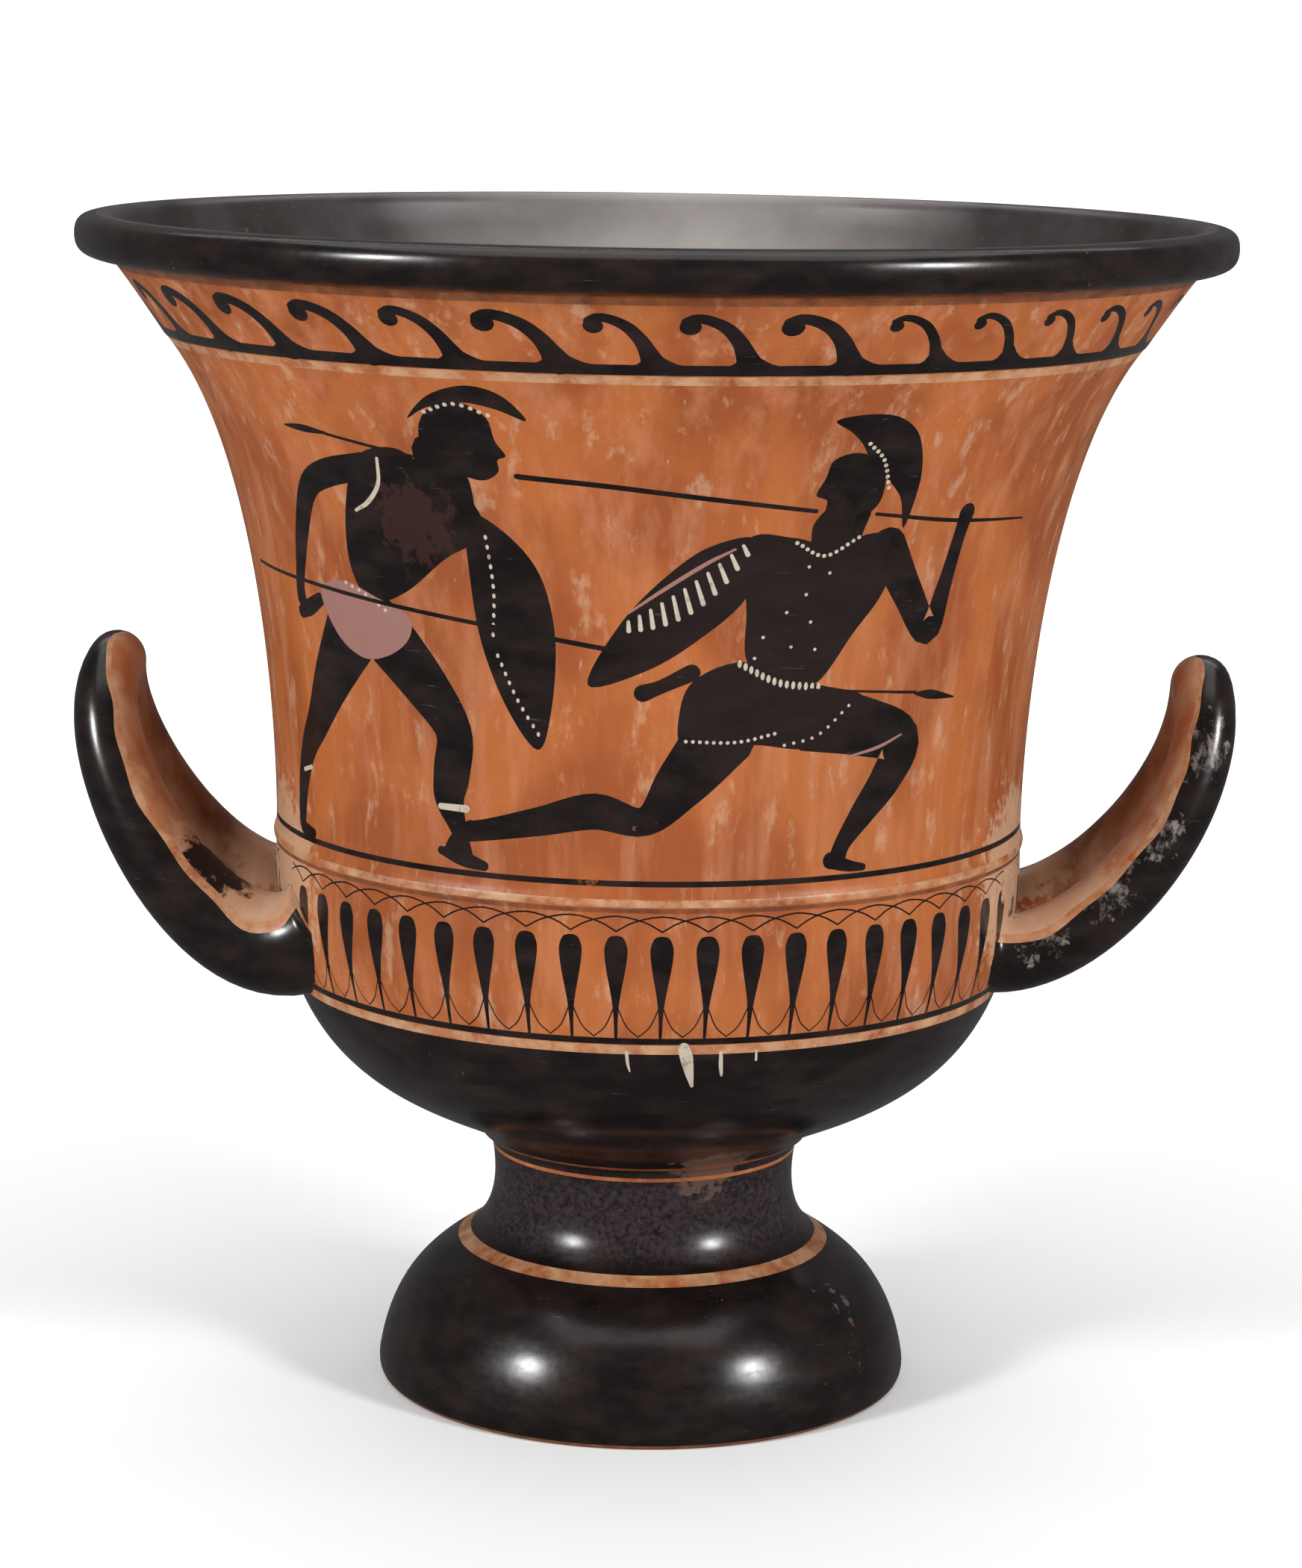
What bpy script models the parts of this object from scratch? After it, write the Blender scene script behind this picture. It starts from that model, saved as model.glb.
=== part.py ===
"""A calyx krater: a wide black-figure mixing bowl of fired clay, on a short stem and a moulded foot.

The whole pot is one piece, because its body, foot and handles are joined before firing.
The outer surface is one turned outline, built as a chain of smooth curves from the foot's
edge to the lip. The bowl and the hollow under the foot are turned cutters, and each handle
is a U-shaped clay rod that is joined to the lower bowl. Metres, +Z up, origin at the
centre of the foot's resting ring.
"""

import math

import bmesh
import bpy
from mathutils import Vector

# Heights of the pot's forms, one above the other from the resting ring to the lip
FOOT_HEIGHT = 0.0444
STEM_HEIGHT = 0.0332
LOWER_BOWL_HEIGHT = 0.0874
WALL_HEIGHT = 0.1590
BAND_HEIGHT = 0.0229
LIP_HEIGHT = 0.0131

# Radii of the pot's outer surface
FOOT_RADIUS = 0.0822
FOOT_TOP_RADIUS = 0.0556
STEM_TOP_RADIUS = 0.0477
COLLAR_RADIUS = 0.0505
BOWL_RADIUS = 0.1146
WALL_TOP_RADIUS = 0.1468
NECK_RADIUS = 0.1632
LIP_RADIUS = 0.1740

# Rounded edges, and the small steps on the stem and where the patterned band begins
FOOT_EDGE_HEIGHT = 0.0060
FOOT_EDGE_INSET = 0.0022
COLLAR_STEP = 0.0018
BAND_STEP = 0.0010
LIP_BULGE_HEIGHT = 0.0070
LIP_CREST_INSET = 0.0064

# Thickness of the clay
WALL_THICKNESS = 0.0075
MOUTH_FLARE = 0.0058
LIP_INNER_EDGE = 0.0035
FLOOR_THICKNESS = 0.0104
RESTING_RING_WIDTH = 0.0120
FOOT_HOLLOW_HEIGHT = 0.0380

# The handles: how far out and up each one's top lies, and where their rods meet the lower bowl
LEFT_HANDLE_REACH = 0.1733
LEFT_HANDLE_TOP = 0.2319
RIGHT_HANDLE_REACH = 0.1789
RIGHT_HANDLE_TOP = 0.2293
LEFT_ROOT_DROP = 0.0160
RIGHT_ROOT_DROP = 0.0210
HANDLE_ROOT_DEPTH = 0.0186
HANDLE_ARCH = 2.4

# Each handle is shaped by hand: the angles and pulls of its side view, half the gap between
# its legs' middles, and the rod's radius
LEFT_HANDLE = {
    "side": -1, "reach": LEFT_HANDLE_REACH, "top": LEFT_HANDLE_TOP, "root_drop": LEFT_ROOT_DROP,
    "angles": (133, -23), "pulls": (0.424, 0.287),
    "root_spread": 0.0385, "top_spread": 0.0230, "root_rod": 0.0170, "top_rod": 0.0086,
}
RIGHT_HANDLE = {
    "side": 1, "reach": RIGHT_HANDLE_REACH, "top": RIGHT_HANDLE_TOP, "root_drop": RIGHT_ROOT_DROP,
    "angles": (113, -9), "pulls": (0.336, 0.351),
    "root_spread": 0.0330, "top_spread": 0.0190, "root_rod": 0.0122, "top_rod": 0.0090,
}

# How finely the shapes are divided
TURN_STEPS = 60
HANDLE_RINGS = 26
HANDLE_BEVEL_RESOLUTION = 3

# How far a cutter runs past the face that it cuts
CUT_MARGIN = 0.0100

GLOSS_COLOUR = (0.028, 0.020, 0.017, 1.0)
GLOSS_ROUGHNESS = 0.28


def levels():
    """The heights at which one form of the pot gives way to the next."""
    foot_top = FOOT_HEIGHT
    collar = foot_top + STEM_HEIGHT
    wall_bottom = collar + LOWER_BOWL_HEIGHT
    wall_top = wall_bottom + WALL_HEIGHT
    neck = wall_top + BAND_HEIGHT
    return foot_top, collar, wall_bottom, wall_top, neck, neck + LIP_HEIGHT


def control_points(start, end, angles, pulls):
    """The four corners of a cubic curve between two (height, radius) points.

    The angles at its ends are measured from straight up, positive outwards, and the pulls
    are shares of the straight distance between the ends.
    """
    distance = math.dist(start, end)
    leave, arrive = (math.radians(angle) for angle in angles)
    first = (start[0] + distance * pulls[0] * math.cos(leave), start[1] + distance * pulls[0] * math.sin(leave))
    second = (end[0] - distance * pulls[1] * math.cos(arrive), end[1] - distance * pulls[1] * math.sin(arrive))
    return start, first, second, end


def cubic(corners, share):
    """The point at a share of the way along a cubic curve."""
    rest = 1 - share
    weights = (rest ** 3, 3 * rest ** 2 * share, 3 * rest * share ** 2, share ** 3)
    return tuple(sum(weight * corner[axis] for weight, corner in zip(weights, corners)) for axis in (0, 1))


def curve(start, end, angles, pulls, steps):
    """Points along a cubic curve, without its last one."""
    corners = control_points(start, end, angles, pulls)
    return [cubic(corners, step / steps) for step in range(steps)]


def foot_outline():
    foot_top = levels()[0]
    edge = (FOOT_EDGE_HEIGHT, FOOT_RADIUS)
    rim = curve((0.0, FOOT_RADIUS - FOOT_EDGE_INSET), edge, (80, -6), (0.35, 0.45), steps=3)
    bell = curve(edge, (foot_top, FOOT_TOP_RADIUS), (-9, -58), (0.52, 0.26), steps=6)
    return rim + bell


def stem_outline():
    foot_top, collar = levels()[:2]
    stem_top = (collar - COLLAR_STEP, STEM_TOP_RADIUS)
    return curve((foot_top, FOOT_TOP_RADIUS), stem_top, (-58, 10), (0.48, 0.10), steps=6) + [stem_top]


def lower_bowl_outline():
    collar, wall_bottom = levels()[1:3]
    return curve((collar, COLLAR_RADIUS), (wall_bottom, BOWL_RADIUS), (34, 0), (0.155, 0.704), steps=9)


def wall_outline():
    wall_bottom, wall_top = levels()[2:4]
    return curve((wall_bottom, BOWL_RADIUS), (wall_top, WALL_TOP_RADIUS), (-3, 38), (0.18, 0.29), steps=8)


def band_outline():
    wall_top, neck = levels()[3:5]
    start = (wall_top + BAND_STEP, WALL_TOP_RADIUS + BAND_STEP)
    band = curve(start, (neck, NECK_RADIUS), (34, 38), (0.33, 0.33), steps=2)
    return [(wall_top, WALL_TOP_RADIUS)] + band


def lip_outline():
    neck, top = levels()[4:]
    bulge = (neck + LIP_BULGE_HEIGHT, LIP_RADIUS)
    crest = (top, LIP_RADIUS - LIP_CREST_INSET)
    under = curve((neck, NECK_RADIUS), bulge, (88, 0), (0.60, 0.40), steps=5)
    over = curve(bulge, crest, (0, -88), (0.47, 0.55), steps=4)
    return under + over + [crest]


def outer_outline():
    """The pot's outer side, from the resting ring up to the lip's crest."""
    shapes = (foot_outline, stem_outline, lower_bowl_outline, wall_outline, band_outline, lip_outline)
    return [point for shape in shapes for point in shape()]


def bowl_outline():
    """The inner side, from the middle of the floor up to the lip's inner edge."""
    collar, wall_bottom, wall_top = levels()[1:4]
    top = levels()[5]
    floor = (collar + FLOOR_THICKNESS, 0.0)
    side = (wall_bottom, BOWL_RADIUS - WALL_THICKNESS)
    shoulder = (wall_top, WALL_TOP_RADIUS - WALL_THICKNESS)
    mouth = (top - LIP_INNER_EDGE, NECK_RADIUS - WALL_THICKNESS + MOUTH_FLARE)
    edge = (top, mouth[1] + LIP_INNER_EDGE)
    rise = curve(floor, side, (90, 0), (0.64, 0.39), steps=7)
    wall = curve(side, shoulder, (-3, 38), (0.18, 0.29), steps=6)
    neck = curve(shoulder, mouth, (38, 12), (0.33, 0.40), steps=3)
    turn = curve(mouth, edge, (12, 80), (0.40, 0.40), steps=2)
    return rise + wall + neck + turn + [edge]


def foot_hollow_outline():
    """The inside of the foot, from the middle of its dome down to the resting ring."""
    ring = (0.0, FOOT_RADIUS - FOOT_EDGE_INSET - RESTING_RING_WIDTH)
    dome = curve((FOOT_HOLLOW_HEIGHT, 0.0), ring, (90, 172), (0.52, 0.42), steps=7)
    return dome + [ring]


def handle_path(handle):
    """Points and rod radii from the front leg's root, over the arch, to the back leg's root."""
    wall_bottom = levels()[2]
    root = (wall_bottom - handle["root_drop"], BOWL_RADIUS - HANDLE_ROOT_DEPTH)
    top = (handle["top"] - handle["top_rod"], handle["reach"] - 1.1 * handle["top_rod"])
    side_view = control_points(root, top, handle["angles"], handle["pulls"])
    half = HANDLE_RINGS // 2
    leg = []
    for ring in range(half + 1):
        share = 1 - (1 - ring / half) ** 1.5
        height, reach = cubic(side_view, share)
        spread = handle["root_spread"] + (handle["top_spread"] - handle["root_spread"]) * share
        across = spread * (1 - share ** HANDLE_ARCH) ** (1 / HANDLE_ARCH)
        rod = handle["root_rod"] + (handle["top_rod"] - handle["root_rod"]) * share
        leg.append((Vector((handle["side"] * reach, -across, height)), rod))
    back = [(Vector((place.x, -place.y, place.z)), rod) for place, rod in reversed(leg[:-1])]
    return leg + back


def new_collection(name):
    collection = bpy.data.collections.new(name)
    bpy.context.scene.collection.children.link(collection)
    return collection


def new_object(name, data, collection):
    thing = bpy.data.objects.new(name, data)
    collection.objects.link(thing)
    return thing


def turned(name, outline, collection):
    """A closed turned solid from (height, radius) points that run down its outer side."""
    mesh = bpy.data.meshes.new(name)
    points = [(radius, 0.0, height) for height, radius in outline]
    mesh.from_pydata(points, [(i, i + 1) for i in range(len(points) - 1)], [])
    thing = new_object(name, mesh, collection)
    screw = thing.modifiers.new("turn", "SCREW")
    screw.axis = "Z"
    screw.steps = TURN_STEPS
    screw.render_steps = TURN_STEPS
    screw.use_smooth_shade = True
    screw.use_merge_vertices = True
    screw.merge_threshold = 0.00001
    return thing


def handle_rod(name, handle, collection):
    """A clay rod swept along the handle's path, as a closed mesh."""
    path = handle_path(handle)
    rod = bpy.data.curves.new(name, "CURVE")
    rod.dimensions = "3D"
    rod.use_fill_caps = True
    rod.bevel_depth = 1.0
    rod.bevel_resolution = HANDLE_BEVEL_RESOLUTION
    spline = rod.splines.new("POLY")
    spline.points.add(len(path) - 1)
    for point, (place, radius) in zip(spline.points, path):
        point.co = (*place, 1.0)
        point.radius = radius
    guide = new_object(name + "_curve", rod, collection)
    bpy.context.view_layer.update()
    mesh = bpy.data.meshes.new_from_object(guide.evaluated_get(bpy.context.evaluated_depsgraph_get()))
    weld_caps(mesh)
    thing = new_object(name, mesh, collection)
    thing.matrix_world = guide.matrix_world
    bpy.data.objects.remove(guide)
    return thing


def weld_caps(mesh):
    shell = bmesh.new()
    shell.from_mesh(mesh)
    bmesh.ops.remove_doubles(shell, verts=shell.verts, dist=0.00001)
    bmesh.ops.recalc_face_normals(shell, faces=shell.faces)
    shell.to_mesh(mesh)
    shell.free()


def combine(target, tool, operation):
    """Joins a tool to the target or cuts it away, and shows the tool as a wire."""
    boolean = target.modifiers.new(tool.name, "BOOLEAN")
    boolean.operation = operation
    boolean.solver = "EXACT"
    boolean.object = tool
    tool.hide_render = True
    tool.display_type = "WIRE"


def clay_material():
    material = bpy.data.materials.new("black_gloss_clay")
    material.use_nodes = True
    shader = material.node_tree.nodes["Principled BSDF"]
    shader.inputs["Base Color"].default_value = GLOSS_COLOUR
    shader.inputs["Roughness"].default_value = GLOSS_ROUGHNESS
    shader.inputs["Metallic"].default_value = 0.0
    return material


def pot_blank(collection):
    """The pot's outside, still filled with clay."""
    outline = outer_outline()
    middle_of_top = (outline[-1][0], 0.0)
    pot = turned("krater", [middle_of_top] + outline[::-1] + [(0.0, 0.0)], collection)
    pot.data.materials.append(clay_material())
    return pot


def bowl_cutter(collection):
    inside = bowl_outline()
    height = inside[-1][0] + CUT_MARGIN
    return turned("bowl_hollow", [(height, 0.0), (height, inside[-1][1])] + inside[::-1], collection)


def foot_cutter(collection):
    inside = foot_hollow_outline()
    return turned("foot_hollow", inside + [(-CUT_MARGIN, inside[-1][1]), (-CUT_MARGIN, 0.0)], collection)


def build():
    for thing in list(bpy.data.objects):
        bpy.data.objects.remove(thing)
    parts = new_collection("calyx_krater")
    tools = new_collection("cutters")
    pot = pot_blank(parts)
    combine(pot, handle_rod("left_handle", LEFT_HANDLE, tools), "UNION")
    combine(pot, handle_rod("right_handle", RIGHT_HANDLE, tools), "UNION")
    combine(pot, bowl_cutter(tools), "DIFFERENCE")
    combine(pot, foot_cutter(tools), "DIFFERENCE")


build()
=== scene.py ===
"""The painted surface of a calyx krater: black figures and patterned bands on orange clay.

The pot's skin is one mesh. Its painted areas are cut into the skin as flush faces, drawn in
the unrolled wall: x runs around the pot from the middle of the front, z up, both in metres.
"""

import math

import bmesh
import bpy
import numpy as np
from mathutils import Matrix, Vector, kdtree
from mathutils.geometry import delaunay_2d_cdt


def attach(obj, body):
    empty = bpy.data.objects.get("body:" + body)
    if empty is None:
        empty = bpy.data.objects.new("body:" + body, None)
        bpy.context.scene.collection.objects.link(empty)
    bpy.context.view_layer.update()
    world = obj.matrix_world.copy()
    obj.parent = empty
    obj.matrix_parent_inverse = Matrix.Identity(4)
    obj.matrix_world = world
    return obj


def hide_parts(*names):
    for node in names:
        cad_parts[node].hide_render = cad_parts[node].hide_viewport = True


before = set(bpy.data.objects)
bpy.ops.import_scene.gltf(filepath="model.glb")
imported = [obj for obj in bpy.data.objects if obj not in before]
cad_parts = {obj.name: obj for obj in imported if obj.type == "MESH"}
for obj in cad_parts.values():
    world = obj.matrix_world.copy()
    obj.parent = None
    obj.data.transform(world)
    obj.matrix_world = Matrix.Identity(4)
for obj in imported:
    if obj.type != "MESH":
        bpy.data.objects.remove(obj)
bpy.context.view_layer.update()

# Heights and radii of the pot's forms, as in the solid
FOOT_TOP, COLLAR, WALL_BOTTOM, WALL_TOP, NECK, TOP = 0.0444, 0.0776, 0.1650, 0.3240, 0.3469, 0.3600
FOOT_RADIUS, FOOT_TOP_RADIUS, STEM_TOP_RADIUS, COLLAR_RADIUS = 0.0822, 0.0556, 0.0477, 0.0505
BOWL_RADIUS, WALL_TOP_RADIUS, NECK_RADIUS, LIP_RADIUS = 0.1146, 0.1468, 0.1632, 0.1740
WALL_THICKNESS, MOUTH_FLARE, LIP_INNER_EDGE, FLOOR_THICKNESS = 0.0075, 0.0058, 0.0035, 0.0104
COLLAR_STEP, BAND_STEP, LIP_BULGE_HEIGHT, LIP_CREST_INSET = 0.0018, 0.0010, 0.0070, 0.0064
FOOT_EDGE_INSET, FOOT_EDGE_HEIGHT = 0.0022, 0.006
RESTING_RING_WIDTH, FOOT_HOLLOW_HEIGHT = 0.0120, 0.0380

# A fine raised ridge between the picture and the buds, and the rows that round it, in half widths
RIDGE_HEIGHT, RIDGE_HALF_WIDTH, RIDGE_RISE = 0.1732, 0.0020, 0.0009
RIDGE_ROWS = (-2, -1.4, -0.9, -0.5, 0.0, 0.9, 1.4, 2)

# Each handle: its side, where its top and roots lie, its side view's angles and pulls, half the gap
# between its legs, and its rod, as in the solid. The bare side reaches over an angle to each side of
# its middle, in degrees, and over a further one at the front leg's root, and its middle is lifted there.
HANDLES = {
    "left": {
        "side": -1, "reach": 0.1732, "top": 0.2319, "root": 0.1490,
        "angles": (133, -23), "pulls": (0.424, 0.287),
        "root_spread": 0.0385, "top_spread": 0.0230, "root_rod": 0.0170, "top_rod": 0.0086,
        "bare": (68, 27), "lift": 2.5,
    },
    "right": {
        "side": 1, "reach": 0.1788, "top": 0.2293, "root": 0.1440,
        "angles": (113, -9), "pulls": (0.336, 0.351),
        "root_spread": 0.0330, "top_spread": 0.0190, "root_rod": 0.0122, "top_rod": 0.0090,
        "bare": (66, 30), "lift": 2.0,
    },
}

# Both handles: their roots' depth, how square the arch is and how its rings spread, their rings and
# sides, how the bare side turns to the loop and upwards, and how deep in the wall the rods end
HANDLE_ROOT_DEPTH, HANDLE_ARCH, HANDLE_EASE = 0.0186, 2.4, 1.5
HANDLE_RINGS, CLAY_SIDES, GLOSS_SIDES = 96, 14, 16
BARE_SIDE_TURN, BARE_SIDE_RISE = 1.3, 0.10
BURIED_DEPTH = 0.45 * WALL_THICKNESS

# The painted part of the wall, and how finely it is divided
PAINT_BOTTOM = 0.1130
AROUND = 240
ROW_STEP = 0.0030
UNROLL = BOWL_RADIUS
HALF_TURN = math.pi * UNROLL

# Distances that keep the skin clean: between an outline and the grid's free corners, between the
# rows of the foot and stem, and those under which corners are one
OUTLINE_CLEARANCE, LEAST_ROW_GAP = 0.0007, 0.00015
CUT_TOLERANCE, WELD_DISTANCE, UNION_WELD_DISTANCE = 0.000001, 0.000004, 0.000002

# The materials, in the order of their slots
CLAY, GLOSS, WHITE, RED, DILUTE, WORN_AND_HIGHLIGHT, DUSTY = range(7)

# Painted bands on the wall, as (bottom, top, material), later ones over earlier ones
BANDS = [
    (0.0000, 0.1281, GLOSS),
    (0.1281, 0.1310, WORN_AND_HIGHLIGHT),
    (0.1312, 0.1332, GLOSS),
    (0.1704, 0.1718, DILUTE),
    # A pale band on the ridge: a painted highlight
    (0.1722, 0.1744, WORN_AND_HIGHLIGHT),
    (0.1780, 0.1797, GLOSS),
    # A pale band along the step under the waves: a painted highlight
    (0.3222, 0.3247, WORN_AND_HIGHLIGHT),
    (0.3250, 0.3280, GLOSS),
    # Under the lip: thin brown gloss, together with painted shade beneath the overhang
    (0.3446, 0.3469, DILUTE),
]

# Rings on the foot and stem, in the same form, on black
RINGS = [
    (0.0000, 0.0014, DILUTE),
    (0.0430, 0.0456, WORN_AND_HIGHLIGHT),
    (0.0728, 0.0740, CLAY),
    (0.0770, 0.0779, DILUTE),
]

# The hanging buds
BUDS, BUD_OFFSET = 55, 0.84
BUD_TOP, BUD_TIP = 0.1642, 0.1330

# Where the waves stand, in degrees around the pot: listed at the front, and evenly behind
WAVE_BASE, WAVE_TOP = 0.3272, 0.3420
FRONT_WAVES = [-63, -51.5, -39.8, -28.5, -18.5, -7.2, 2.2, 12.2, 23.2, 33, 42.5, 52]
BACK_WAVES = [62.1 + 10.2 * number for number in range(23)]
FULL_WAVE, DRY_WAVE = 1.25, 0.9
DRY_WAVES_FROM, DRY_WAVES_TO = 20, 90

# Details of the figures
THINNEST_STROKE = 0.0003
DOT_CORNERS = 8
SHIELD_LINES = 11
CLOAKED_FIGURE_FROM_SEAM = 0.050

# Colours, as linear red, green and blue
CLAY_ORANGE = (0.370, 0.104, 0.023)
CLAY_DEEP = (0.260, 0.062, 0.013)
CLAY_PINK = (0.460, 0.190, 0.095)
CLAY_PALE = (0.520, 0.350, 0.225)
GLOSS_BLACK = (0.0060, 0.0038, 0.0038)
GLOSS_BROWN = (0.0190, 0.0110, 0.0100)
WORN_BROWN = (0.040, 0.015, 0.012)
WORN_TAN = (0.140, 0.080, 0.058)
DUST_GREY = (0.075, 0.062, 0.062)
DUST_PURPLE = (0.078, 0.056, 0.062)
# A pale sheen painted on the back of the inner wall
SHEEN_PALE = (0.330, 0.300, 0.285)
SCUFF_GREY = (0.150, 0.130, 0.125)
SCUFF_PALE = (0.290, 0.255, 0.225)
# Thin brown gloss, also used as painted shade on the handles' back legs and under the lip
DILUTE_AND_SHADE_BROWN = (0.090, 0.030, 0.012)
CREAM = (0.430, 0.370, 0.290)
CREAM_WORN = (0.20, 0.15, 0.12)
BAND_TAN = (0.450, 0.255, 0.135)
PINK = (0.260, 0.120, 0.098)
PINK_WORN = (0.26, 0.11, 0.09)
FLOOR_PALE = (0.93, 0.93, 0.93)

# Where the handles meet the wall, with both signs of x and y, places with wear of their own, and the middle
# of a painted sheen inside the bowl
HANDLE_ROOT_PLACE = (0.1130, 0.0350, 0.1660)
HANDLE_SCUFF_PLACES = [(0.1645, -0.0200, 0.2040), (0.1500, -0.0340, 0.1800), (0.1380, -0.0400, 0.1640),
                       (0.1180, -0.0460, 0.1520)]
STEM_WEAR_PLACE = (0.0210, -0.0460, 0.0780)
FOOT_SCUFF_PLACE = (0.0640, -0.0390, 0.0370)
LOOP_STAIN_PLACE = (-0.1270, -0.0370, 0.1700)
CHEST_WEAR_PLACE = (-0.0660, -0.1070, 0.2800)
RIGHT_FIGURE_PLACE = (0.0350, -0.1160, 0.2500)
# The middle of the pale sheen painted on the back of the inner wall
INSIDE_SHEEN_PLACE = (0.0100, 0.1560, 0.3470)

# The lamps, as (place, target, size, power): two softboxes beside the camera, a weak fill, a broad
# light overhead and one for the backdrop
LAMPS = {
    "softbox_left": ((-1.66, -1.22, 0.98), (0, 0, 0.18), (0.32, 0.38), 28),
    "softbox_right": ((1.66, -1.22, 0.98), (0, 0, 0.18), (0.32, 0.38), 28),
    "front_fill": ((0, -2.0, 0.30), (0, 0, 0.25), (1.6, 0.5), 9),
    "overhead": ((0, -0.1, 2.6), (0, 0, 0), (3.2, 3.2), 47),
    "backdrop_light": ((0, 1.3, 1.6), (0, 2.4, 0.1), (2.4, 0.6), 34),
}
WORLD_STRENGTH = 0.12

# The camera's place in metres, its lens in millimetres, and how far it looks down and leans, in degrees
CAMERA_PLACE = (0.0006, -1.278, 0.4226)
CAMERA_LENS, CAMERA_SENSOR_WIDTH = 96.8, 36.0
CAMERA_PITCH, CAMERA_ROLL = 10.465, 0.85


def control_points(start, end, angles, pulls):
    """The corners of a cubic curve; its angles are measured from straight up, positive outwards."""
    leave, arrive = (math.radians(angle) for angle in angles)
    pull_out, pull_in = (math.dist(start, end) * pull for pull in pulls)
    first = (start[0] + pull_out * math.cos(leave), start[1] + pull_out * math.sin(leave))
    second = (end[0] - pull_in * math.cos(arrive), end[1] - pull_in * math.sin(arrive))
    return np.array((start, first, second, end))


def cubic(corners, share):
    """Places on a cubic curve, each at a share of its way."""
    a, b, c, d = corners
    t = share[:, None]
    return (1 - t) ** 3 * a + 3 * (1 - t) ** 2 * t * b + 3 * (1 - t) * t ** 2 * c + t ** 3 * d


def curve(start, end, angles, pulls, steps):
    """Points (height, radius) along a cubic curve, without its last one."""
    return cubic(control_points(start, end, angles, pulls), np.arange(steps) / steps)


def foot_and_stem():
    """The outer side below the painted wall, with a fine step under the bowl's collar."""
    edge = (FOOT_EDGE_HEIGHT, FOOT_RADIUS)
    foot_top = (FOOT_TOP, FOOT_TOP_RADIUS)
    stem_top = (COLLAR - COLLAR_STEP, STEM_TOP_RADIUS)
    rim = curve((0.0, FOOT_RADIUS - FOOT_EDGE_INSET), edge, (80, -6), (0.35, 0.45), 6)
    bell = curve(edge, foot_top, (-9, -58), (0.52, 0.26), 22)
    stem = curve(foot_top, stem_top, (-58, 10), (0.48, 0.10), 18)
    bowl = curve((COLLAR, COLLAR_RADIUS), (WALL_BOTTOM, BOWL_RADIUS), (34, 0), (0.155, 0.704), 60)
    return np.vstack((rim, bell, stem, [stem_top], bowl))


def wall_side():
    """The outer side of the painted wall, with a fine step under the waves."""
    wall = curve((WALL_BOTTOM, BOWL_RADIUS), (WALL_TOP, WALL_TOP_RADIUS), (-3, 38), (0.18, 0.29), 70)
    step = np.array([(WALL_TOP, WALL_TOP_RADIUS)])
    band_start = (WALL_TOP + BAND_STEP, WALL_TOP_RADIUS + BAND_STEP)
    band = curve(band_start, (NECK, NECK_RADIUS), (34, 38), (0.33, 0.33), 10)
    return np.vstack((wall, step, band, [(NECK, NECK_RADIUS)]))


OUTER = np.vstack((foot_and_stem(), wall_side()))


def radius_at(z):
    """The radius of the pot's outer side at a height, with the fine ridge."""
    ridge = RIDGE_RISE * np.exp(-((z - RIDGE_HEIGHT) / RIDGE_HALF_WIDTH) ** 2)
    return np.interp(z, OUTER[:, 0], OUTER[:, 1]) + ridge


def slope_at(z):
    """How fast the radius grows with the height."""
    reach = 0.0006
    return (radius_at(z + reach) - radius_at(z - reach)) / (2 * reach)


def lip_side():
    """The outer side of the overhanging lip, up to its crest."""
    bulge = (NECK + LIP_BULGE_HEIGHT, LIP_RADIUS)
    crest = (TOP, LIP_RADIUS - LIP_CREST_INSET)
    under = curve((NECK, NECK_RADIUS), bulge, (88, 0), (0.60, 0.40), 14)
    over = curve(bulge, crest, (0, -88), (0.47, 0.55), 14)
    return np.vstack((under[1:], over, [crest]))


def inner_side():
    """From the lip's inner edge down to the middle of the bowl's floor."""
    floor = (COLLAR + FLOOR_THICKNESS, 0.0)
    side = (WALL_BOTTOM, BOWL_RADIUS - WALL_THICKNESS)
    shoulder = (WALL_TOP, WALL_TOP_RADIUS - WALL_THICKNESS)
    mouth = (TOP - LIP_INNER_EDGE, NECK_RADIUS - WALL_THICKNESS + MOUTH_FLARE)
    edge = (TOP, mouth[1] + LIP_INNER_EDGE)
    rise = curve(floor, side, (90, 0), (0.64, 0.39), 26)
    wall = curve(side, shoulder, (-3, 38), (0.18, 0.29), 30)
    neck = curve(shoulder, mouth, (38, 12), (0.33, 0.40), 10)
    turn = curve(mouth, edge, (12, 80), (0.40, 0.40), 6)
    return np.vstack((rise, wall, neck, turn, [edge]))[::-1]


def hollow_side():
    """From the middle of the hollow under the foot down to the resting ring, and across it."""
    ring_outside = (0.0, FOOT_RADIUS - FOOT_EDGE_INSET)
    ring_inside = (0.0, FOOT_RADIUS - FOOT_EDGE_INSET - RESTING_RING_WIDTH)
    dome = curve((FOOT_HOLLOW_HEIGHT, 0.0), ring_inside, (90, 172), (0.52, 0.42), 16)
    return np.vstack((dome, [ring_inside], [ring_outside]))


def spline(a, b, c, d, steps):
    """Points on a smooth curve from b to c, without its last one, led by the points on both sides."""
    return [0.5 * (2 * b + (c - a) * t + (2 * a - 5 * b + 4 * c - d) * t ** 2
                   + (3 * b - a - 3 * c + d) * t ** 3) for t in np.arange(steps) / steps]


def smooth_loop(points, steps=6):
    """A closed smooth outline through a few points."""
    p = np.array(points, float)
    count = len(p)
    out = []
    for i in range(count):
        out += spline(p[i - 1], p[i], p[(i + 1) % count], p[(i + 2) % count], steps)
    return np.array(out)


def smooth_line(points, steps=6):
    """A smooth open line through a few points, of any number of values each."""
    p = np.array(points, float)
    p = np.vstack((2 * p[0] - p[1], p, 2 * p[-1] - p[-2]))
    out = []
    for i in range(1, len(p) - 2):
        out += spline(*p[i - 1:i + 3], steps)
    return np.array(out + [p[-2]])


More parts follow.
